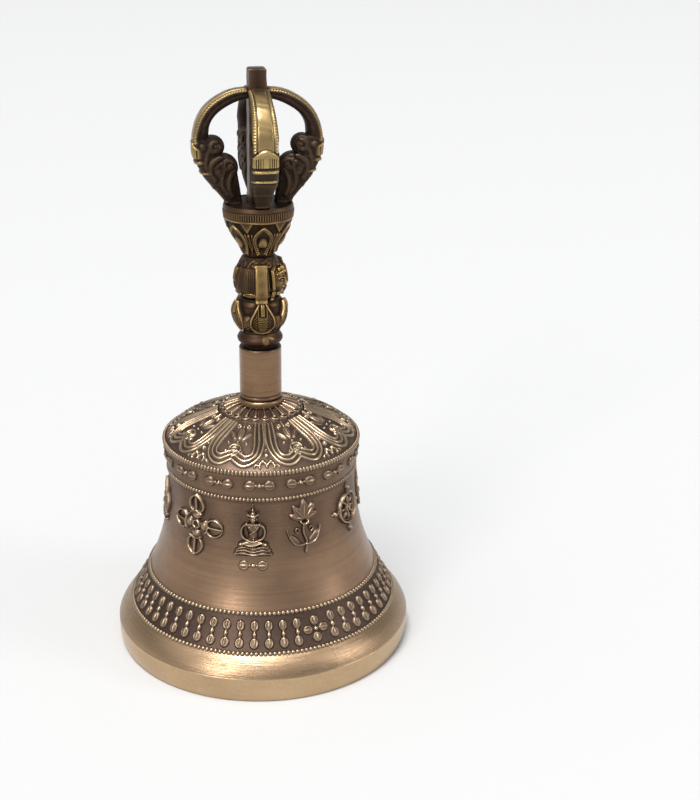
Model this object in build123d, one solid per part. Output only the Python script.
"""Tibetan hand bell: a cast flared bell, a turned neck tube and a handle of stacked castings that ends in a
five-pronged crown. A centre rod ties the stack together, and its lower end carries the swinging clapper.

Millimetres, +Z up. The origin is on the bell's axis, in the plane of the rim that the bell stands on.
"""

from build123d import *
import math
import os

# ---------------------------------------------------------------- driving dimensions
LIP_R = 46.0  # largest radius of the bell, at the crease above the rim band
RIM_OUTER_R = 45.2
RIM_INNER_R = 41.6
RIM_EDGE = 0.4
RIM_TAPER_Z = 4.4  # the rim band widens up to here and is upright above it
CREASE_Z = 7.9
LOWER_RING_R, LOWER_RING_Z = 41.4, 13.9  # beaded ring under the lower ornament band
UPPER_RING_R, UPPER_RING_Z = 35.7, 24.2  # beaded ring over it
WAIST_RING_R, WAIST_RING_Z = 28.9, 58.2
SHOULDER_R, SHOULDER_Z = 29.8, 67.0
CROWN_FLAT_R, CROWN_Z = 7.4, 77.7
CROWN_WALL = 3.5
CROWN_UNDERSIDE_R = 10.0  # the flat under the crown that the washer sits on
BEAD_R = 0.75  # section radius of the raised rings

ROD_R = 2.4
ROD_CLEARANCE = 0.1
BORE_R = ROD_R + ROD_CLEARANCE

SEAT_RING_R, SEAT_RING_H = 6.95, 2.2
TUBE_R, TUBE_BORE_R, TUBE_TOP_Z = 6.35, 4.6, 96.2
SEAT_TOP_Z = CROWN_Z + SEAT_RING_H

COLLAR_R, COLLAR_NECK_R, COLLAR_NECK_H, COLLAR_TOP_Z = 6.8, 5.2, 1.0, 101.2
COLLAR_LID_R = 5.6
SPIGOT_CLEARANCE, SPIGOT_L = 0.05, 5.0

KNOB_TOP_R, KNOB_TOP_Z = 6.5, 112.4
KNOB_R = 8.4
FACE_TOP_R, FACE_TOP_Z = 5.1, 124.6
CUP_TOP_Z = 140.0
CUP_R = 10.4

CROWN_TURN = 8.0  # degrees the crown is turned from the bell's front
FACE_AZIMUTH = 65.0  # the face looks this far round from the front, towards +X
MASK_OUT, MASK_Z, MASK_RADII = 5.0, 117.2, (2.9, 3.5, 4.0)
PRONG_COUNT = 4
PRONG_FOOT_INNER_R, PRONG_FOOT_OUTER_R = 4.7, 9.2
PRONG_TOP_Z = 173.0
PRONG_TIP_H = 3.0
PRONG_TIP_GAP = 0.06
PRONG_FOOT_HALF_W, PRONG_TIP_HALF_W = 2.4, 3.1
TENON_L, TENON_W, TENON_H, TENON_GAP = 3.4, 3.0, 2.5, 0.05

CENTRE_BASE_SIDE, CENTRE_TIP_SIDE, CENTRE_TOP_Z = 5.7, 5.2, 178.4
CENTRE_CHAMFER = 0.4

WASHER_R, WASHER_H = 8.5, 1.3
NUT_FLATS, NUT_H, NUT_CLEARANCE = 8.0, 4.0, 0.02
ROD_SHOULDER_DROP = 0.8
SWIVEL_R, SWIVEL_CLEARANCE, SWIVEL_END_GAP = 1.6, 0.08, 0.12
RIVET_HEAD_R, RIVET_HEAD_H = 2.7, 1.2

STIRRUP_PLATE_H, STIRRUP_W, STIRRUP_GAP, STIRRUP_LEG = 1.6, 5.0, 5.6, 1.2
STIRRUP_DROP, STIRRUP_ROUND = 10.6, 1.0
PIN_R, PIN_DROP, PIN_HEAD_R, PIN_HEAD_H = 1.1, 8.2, 1.8, 0.6

EYE_R, EYE_BORE_R, EYE_W = 3.0, 1.18, 3.6
SHANK_R, SHANK_TIP_R = 1.5, 1.2
SHANK_INTO_EYE = 0.6
CLAPPER_L, BOB_R, BOB_NECK_R, BOB_BUTTON_R = 49.5, 6.4, 2.4, 1.9

# ---------------------------------------------------------------- heights that follow from them
CROWN_UNDERSIDE_Z = CROWN_Z - CROWN_WALL
WASHER_BOTTOM_Z = CROWN_UNDERSIDE_Z - WASHER_H
NUT_BOTTOM_Z = WASHER_BOTTOM_Z - NUT_H
SHOULDER_END_Z = NUT_BOTTOM_Z - ROD_SHOULDER_DROP
STIRRUP_TOP_Z = SHOULDER_END_Z - SWIVEL_END_GAP
STIRRUP_PLATE_Z = STIRRUP_TOP_Z - STIRRUP_PLATE_H
RIVET_TOP_Z = STIRRUP_PLATE_Z - SWIVEL_END_GAP
RIVET_BOTTOM_Z = RIVET_TOP_Z - RIVET_HEAD_H
PIVOT_Z = STIRRUP_TOP_Z - PIN_DROP
BOB_Z = PIVOT_Z - CLAPPER_L


def turned(outline):
    """The solid that an outline of (radius, height) wires or points sweeps round the Z axis."""
    return revolve(Plane.XZ * outline, Axis.Z)


def lathe(points):
    """A turned solid from straight-sided (radius, height) corners."""
    return turned(make_face(Polyline(*points, close=True)))


def curved_lathe(points, bore=BORE_R):
    """A turned casting: a smooth side through the given (radius, height) points, flat ends and a bore."""
    low, high = points[0], points[-1]
    side = Spline(*points)
    ends = Polyline(high, (bore, high[1]), (bore, low[1]), low)
    return turned(make_face(side + ends))


def drum(radius, low, high):
    """A plain cylinder between two heights."""
    return Pos(0, 0, low) * Cylinder(radius, high - low, align=(Align.CENTER, Align.CENTER, Align.MIN))


# ---------------------------------------------------------------- bell
def bell_body():
    """The cast bell: flat rim, rim band, rounded lip, flared waist, shoulder and domed crown."""
    rim = Polyline(
        (RIM_INNER_R, 0), (RIM_OUTER_R - RIM_EDGE, 0), (RIM_OUTER_R, RIM_EDGE),
        (LIP_R, RIM_TAPER_Z), (LIP_R, CREASE_Z),
    )
    lip = ThreePointArc((LIP_R, CREASE_Z), (44.55, 11.3), (LOWER_RING_R, LOWER_RING_Z))
    band = ThreePointArc((LOWER_RING_R, LOWER_RING_Z), (38.35, 18.8), (UPPER_RING_R, UPPER_RING_Z))
    flare = Spline(
        (UPPER_RING_R, UPPER_RING_Z), (33.4, 29.8), (31.3, 36.5), (29.8, 43.5), (28.9, 51.0),
        (WAIST_RING_R, WAIST_RING_Z),
    )
    upper_band = Line((WAIST_RING_R, WAIST_RING_Z), (SHOULDER_R, SHOULDER_Z))
    crown = Spline(
        (SHOULDER_R, SHOULDER_Z), (27.0, 69.5), (22.5, 72.0), (16.5, 74.5), (11.0, 76.6),
        (CROWN_FLAT_R, CROWN_Z),
    )
    top = Polyline(
        (CROWN_FLAT_R, CROWN_Z), (BORE_R, CROWN_Z), (BORE_R, CROWN_UNDERSIDE_Z),
        (CROWN_UNDERSIDE_R, CROWN_UNDERSIDE_Z),
    )
    inside = Spline(
        (CROWN_UNDERSIDE_R, CROWN_UNDERSIDE_Z), (17.5, 71.2), (23.6, 67.2), (26.0, 61.5), (25.8, 53.0),
        (27.0, 43.5), (29.3, 34.0), (32.9, 24.6), (36.9, 16.0), (40.2, 9.0), (RIM_INNER_R, 3.0),
        (RIM_INNER_R, 0),
        tangents=((1, 0), (0, -1)),
    )
    shell = turned(make_face(rim + lip + band + flare + upper_band + crown + top + inside))
    rings = (
        (LOWER_RING_R, LOWER_RING_Z),
        (UPPER_RING_R, UPPER_RING_Z),
        (WAIST_RING_R, WAIST_RING_Z),
        (SHOULDER_R, SHOULDER_Z),
    )
    for radius, height in rings:
        shell += Pos(0, 0, height) * Torus(radius, BEAD_R)
    return shell


# ---------------------------------------------------------------- neck and handle castings
def neck_seat_ring():
    """The raised ring between the crown and the tube, with a sloped top edge."""
    slope_h, slope_w = 0.5, 0.35
    return lathe([
        (BORE_R, CROWN_Z), (SEAT_RING_R, CROWN_Z), (SEAT_RING_R, SEAT_TOP_Z - slope_h),
        (SEAT_RING_R - slope_w, SEAT_TOP_Z), (BORE_R, SEAT_TOP_Z),
    ])


def neck_tube():
    """The turned sleeve between the bell and the grip, open inside round the rod."""
    edge = 0.3
    return lathe([
        (TUBE_BORE_R, SEAT_TOP_Z), (TUBE_R, SEAT_TOP_Z), (TUBE_R, TUBE_TOP_Z - edge),
        (TUBE_R - edge, TUBE_TOP_Z), (TUBE_BORE_R, TUBE_TOP_Z),
    ])


def handle_collar():
    """The round collar on the tube, with a spigot that centres it in the tube's mouth."""
    spigot_r = TUBE_BORE_R - SPIGOT_CLEARANCE
    neck_top = TUBE_TOP_Z + COLLAR_NECK_H
    side = Polyline(
        (BORE_R, COLLAR_TOP_Z), (BORE_R, TUBE_TOP_Z - SPIGOT_L), (spigot_r, TUBE_TOP_Z - SPIGOT_L),
        (spigot_r, TUBE_TOP_Z), (COLLAR_NECK_R, TUBE_TOP_Z), (COLLAR_NECK_R, neck_top),
    )
    roll = Spline((COLLAR_NECK_R, neck_top), (COLLAR_R, 98.9), (6.1, 100.4), (COLLAR_LID_R, COLLAR_TOP_Z))
    lid = Line((COLLAR_LID_R, COLLAR_TOP_Z), (BORE_R, COLLAR_TOP_Z))
    return turned(make_face(side + roll + lid))


def vase_knob():
    """The pot-bellied lower casting of the grip."""
    return curved_lathe([
        (COLLAR_LID_R, COLLAR_TOP_Z), (7.5, 103.6), (KNOB_R, 107.1), (7.8, 110.4),
        (KNOB_TOP_R, KNOB_TOP_Z),
    ])


def face_block():
    """The middle casting, with the raised mask of the face on one side."""
    block = curved_lathe([
        (KNOB_TOP_R, KNOB_TOP_Z), (7.5, 114.2), (7.7, 117.2), (6.9, 121.0), (FACE_TOP_R, FACE_TOP_Z),
    ])
    mask_centre = Rot(0, 0, FACE_AZIMUTH) * Pos(0, -MASK_OUT, MASK_Z)
    mask = mask_centre * scale(Sphere(1.0), by=MASK_RADII)
    core_r = MASK_OUT - 1.0
    return block + (mask - drum(core_r, KNOB_TOP_Z, FACE_TOP_Z))


def prong_frames():
    """The placement of each outer prong, whose own plane is the XZ half plane."""
    return [Rot(0, 0, CROWN_TURN - 90 + 360 / PRONG_COUNT * i) for i in range(PRONG_COUNT)]


def tenon(gap):
    """The block under a prong's foot, grown by gap all round to cut its mortise."""
    middle = (PRONG_FOOT_INNER_R + PRONG_FOOT_OUTER_R) / 2
    size = (TENON_L + 2 * gap, TENON_W + 2 * gap, TENON_H + gap)
    return Pos(middle, 0, CUP_TOP_Z) * Box(*size, align=(Align.CENTER, Align.CENTER, Align.MAX))


def lotus_cup():
    """The lotus casting that carries the prongs, with a mortise for each."""
    cup = curved_lathe([
        (FACE_TOP_R, FACE_TOP_Z), (6.1, 127.4), (8.7, 131.6), (10.1, 135.6), (CUP_R, 138.4),
        (10.0, CUP_TOP_Z),
    ])
    for frame in prong_frames():
        cup -= frame * tenon(TENON_GAP)
    return cup


def quarter():
    """The right-angled wedge of space that one of the four prongs may fill."""
    reach, low, height = 30.0, 10.0, 60.0
    edge = reach - PRONG_TIP_GAP
    wedge = Polyline((PRONG_TIP_GAP, 0), (reach, edge), (reach, -edge), close=True)
    return Pos(0, 0, CUP_TOP_Z - low) * extrude(make_face(wedge), amount=height)


def prong_side():
    """A prong seen from the side: it arches out from the cup and over to the centre prong's tip."""
    tip_r = CENTRE_TIP_SIDE / 2 + PRONG_TIP_GAP
    tip_low = PRONG_TOP_Z - PRONG_TIP_H
    outer = Spline(
        (PRONG_FOOT_OUTER_R, CUP_TOP_Z), (13.0, 144.6), (16.2, 148.6), (18.3, 152.8), (18.8, 157.5),
        (17.8, 163.3), (15.2, 167.8), (11.0, 171.0), (6.9, 172.6), (tip_r, PRONG_TOP_Z),
    )
    tip = Line((tip_r, PRONG_TOP_Z), (tip_r, tip_low))
    inner = Spline((tip_r, tip_low), (5.3, 169.4), (8.7, 167.9), (11.8, 165.7), (13.6, 162.9), (14.0, 159.3))
    trunk = ThreePointArc((14.0, 159.3), (10.2, 158.5), (10.6, 154.3))
    jaw = ThreePointArc((10.6, 154.3), (6.9, 153.3), (6.0, 149.0))
    back = Spline((6.0, 149.0), (5.3, 144.5), (PRONG_FOOT_INNER_R, CUP_TOP_Z))
    sole = Line((PRONG_FOOT_INNER_R, CUP_TOP_Z), (PRONG_FOOT_OUTER_R, CUP_TOP_Z))
    return make_face(outer + tip + inner + trunk + jaw + back + sole)


def prong_front():
    """A prong seen from outside: narrow at its foot and tip, widest at the makara head."""
    low, high = CUP_TOP_Z - 1, PRONG_TOP_Z + 1
    half_widths = [
        (PRONG_FOOT_HALF_W, low), (2.7, 142.6), (3.7, 146.0), (4.4, 151.5),
        (4.3, 156.0), (4.0, 162.0), (3.6, 168.0), (PRONG_TIP_HALF_W, high),
    ]
    right_edge = Spline(*half_widths)
    left_edge = Spline(*[(-width, height) for width, height in reversed(half_widths)])
    foot = Line((-PRONG_FOOT_HALF_W, low), (PRONG_FOOT_HALF_W, low))
    head = Line((PRONG_TIP_HALF_W, high), (-PRONG_TIP_HALF_W, high))
    return make_face(right_edge + head + left_edge + foot)


def outer_prong(frame):
    """A prong: a makara head with two curled lobes inside it, and a band that arches to the top."""
    widest, furthest = 8.0, 24.0
    side = extrude(Plane.XZ * prong_side(), amount=widest, both=True)
    front = extrude(Plane.YZ * prong_front(), amount=furthest)
    prong = (side & front) + tenon(0)
    return frame * (prong & quarter())


def centre_prong_rod():
    """The square centre prong, forged in one with the rod that ties the handle to the bell."""
    turn = Rot(0, 0, CROWN_TURN)
    base = Plane.XY.offset(CUP_TOP_Z) * Rectangle(CENTRE_BASE_SIDE, CENTRE_BASE_SIDE)
    tip = Plane.XY.offset(CENTRE_TOP_Z) * Rectangle(CENTRE_TIP_SIDE, CENTRE_TIP_SIDE)
    square = loft([base, tip])
    square = chamfer(square.edges().filter_by(Plane.XY).group_by(Axis.Z)[-1], CENTRE_CHAMFER)
    rod = turn * square + drum(ROD_R, SHOULDER_END_Z, CUP_TOP_Z)
    rod += drum(SWIVEL_R, RIVET_TOP_Z, SHOULDER_END_Z)
    return rod + drum(RIVET_HEAD_R, RIVET_BOTTOM_Z, RIVET_TOP_Z)


# ---------------------------------------------------------------- fixing inside the bell
def crown_washer():
    """The washer that spreads the nut's load under the crown."""
    low, high = WASHER_BOTTOM_Z, CROWN_UNDERSIDE_Z
    return drum(WASHER_R, low, high) - drum(BORE_R, low, high)


def crown_nut():
    """The hexagonal nut on the rod; its thread is left plain."""
    corner_r = NUT_FLATS / 2 / math.cos(math.pi / 6)
    hexagon = Plane.XY.offset(NUT_BOTTOM_Z) * RegularPolygon(corner_r, 6)
    nut = extrude(hexagon, amount=NUT_H)
    return nut - drum(ROD_R + NUT_CLEARANCE, NUT_BOTTOM_Z, WASHER_BOTTOM_Z)


# ---------------------------------------------------------------- clapper
def clapper_stirrup():
    """The stirrup that turns on the rod's riveted end, with two legs that hold the pivot pin."""
    span = STIRRUP_GAP + 2 * STIRRUP_LEG
    block = Pos(0, 0, STIRRUP_TOP_Z) * Box(
        span, STIRRUP_W, STIRRUP_DROP, align=(Align.CENTER, Align.CENTER, Align.MAX)
    )
    block = fillet(block.edges().filter_by(Axis.Y), STIRRUP_ROUND)
    slot = Pos(0, 0, STIRRUP_PLATE_Z) * Box(
        STIRRUP_GAP, STIRRUP_W + 1, STIRRUP_DROP, align=(Align.CENTER, Align.CENTER, Align.MAX)
    )
    swivel_hole = drum(SWIVEL_R + SWIVEL_CLEARANCE, STIRRUP_PLATE_Z - 1, STIRRUP_TOP_Z + 1)
    pin_hole = Pos(0, 0, PIVOT_Z) * Rot(0, 90, 0) * Cylinder(PIN_R, span + 2)
    return block - slot - swivel_hole - pin_hole


def stirrup_pin():
    """The headed pin that the clapper swings on."""
    span = STIRRUP_GAP + 2 * STIRRUP_LEG
    pin = Cylinder(PIN_R, span)
    for side in (-1, 1):
        pin += Pos(0, 0, side * (span + PIN_HEAD_H) / 2) * Cylinder(PIN_HEAD_R, PIN_HEAD_H)
    return Pos(0, 0, PIVOT_Z) * Rot(0, 90, 0) * pin


def clapper_shank():
    """The clapper's rod, forged into an eye at its top."""
    eye = Rot(0, 90, 0) * (Cylinder(EYE_R, EYE_W) - Cylinder(EYE_BORE_R, EYE_W + 1))
    eye = Pos(0, 0, PIVOT_Z) * eye
    top = PIVOT_Z - EYE_R + SHANK_INTO_EYE
    bob_top, bob_low = BOB_Z + BOB_R, BOB_Z - BOB_R
    rod = lathe([
        (0, top), (SHANK_R, top), (SHANK_R, bob_top), (SHANK_TIP_R, bob_top), (SHANK_TIP_R, bob_low),
        (0, bob_low),
    ])
    return eye + rod


def clapper_bob():
    """The turned ball on the shank's end, drawn out to a small neck on top and a button below."""
    top, low = BOB_Z + BOB_R, BOB_Z - BOB_R
    side = Spline(
        (BOB_NECK_R, top), (BOB_R * 0.72, BOB_Z + 3.9), (BOB_R, BOB_Z - 0.4), (BOB_R * 0.7, BOB_Z - 4.8),
        (BOB_BUTTON_R, low),
    )
    ends = Polyline((BOB_BUTTON_R, low), (SHANK_TIP_R, low), (SHANK_TIP_R, top), (BOB_NECK_R, top))
    return turned(make_face(side + ends))


def main():
    os.makedirs("parts", exist_ok=True)
    parts = {
        "bell_body": bell_body(),
        "neck_seat_ring": neck_seat_ring(),
        "neck_tube": neck_tube(),
        "handle_collar": handle_collar(),
        "vase_knob": vase_knob(),
        "face_block": face_block(),
        "lotus_cup": lotus_cup(),
        "centre_prong_rod": centre_prong_rod(),
        "crown_washer": crown_washer(),
        "crown_nut": crown_nut(),
        "clapper_stirrup": clapper_stirrup(),
        "stirrup_pin": stirrup_pin(),
        "clapper_shank": clapper_shank(),
        "clapper_bob": clapper_bob(),
    }
    for name, frame in zip(("front", "right", "back", "left"), prong_frames()):
        parts[f"prong_{name}"] = outer_prong(frame)
    for name, shape in parts.items():
        export_step(shape, f"parts/{name}.step")
        print(f"{name}: {shape.volume:.0f} mm3")


main()
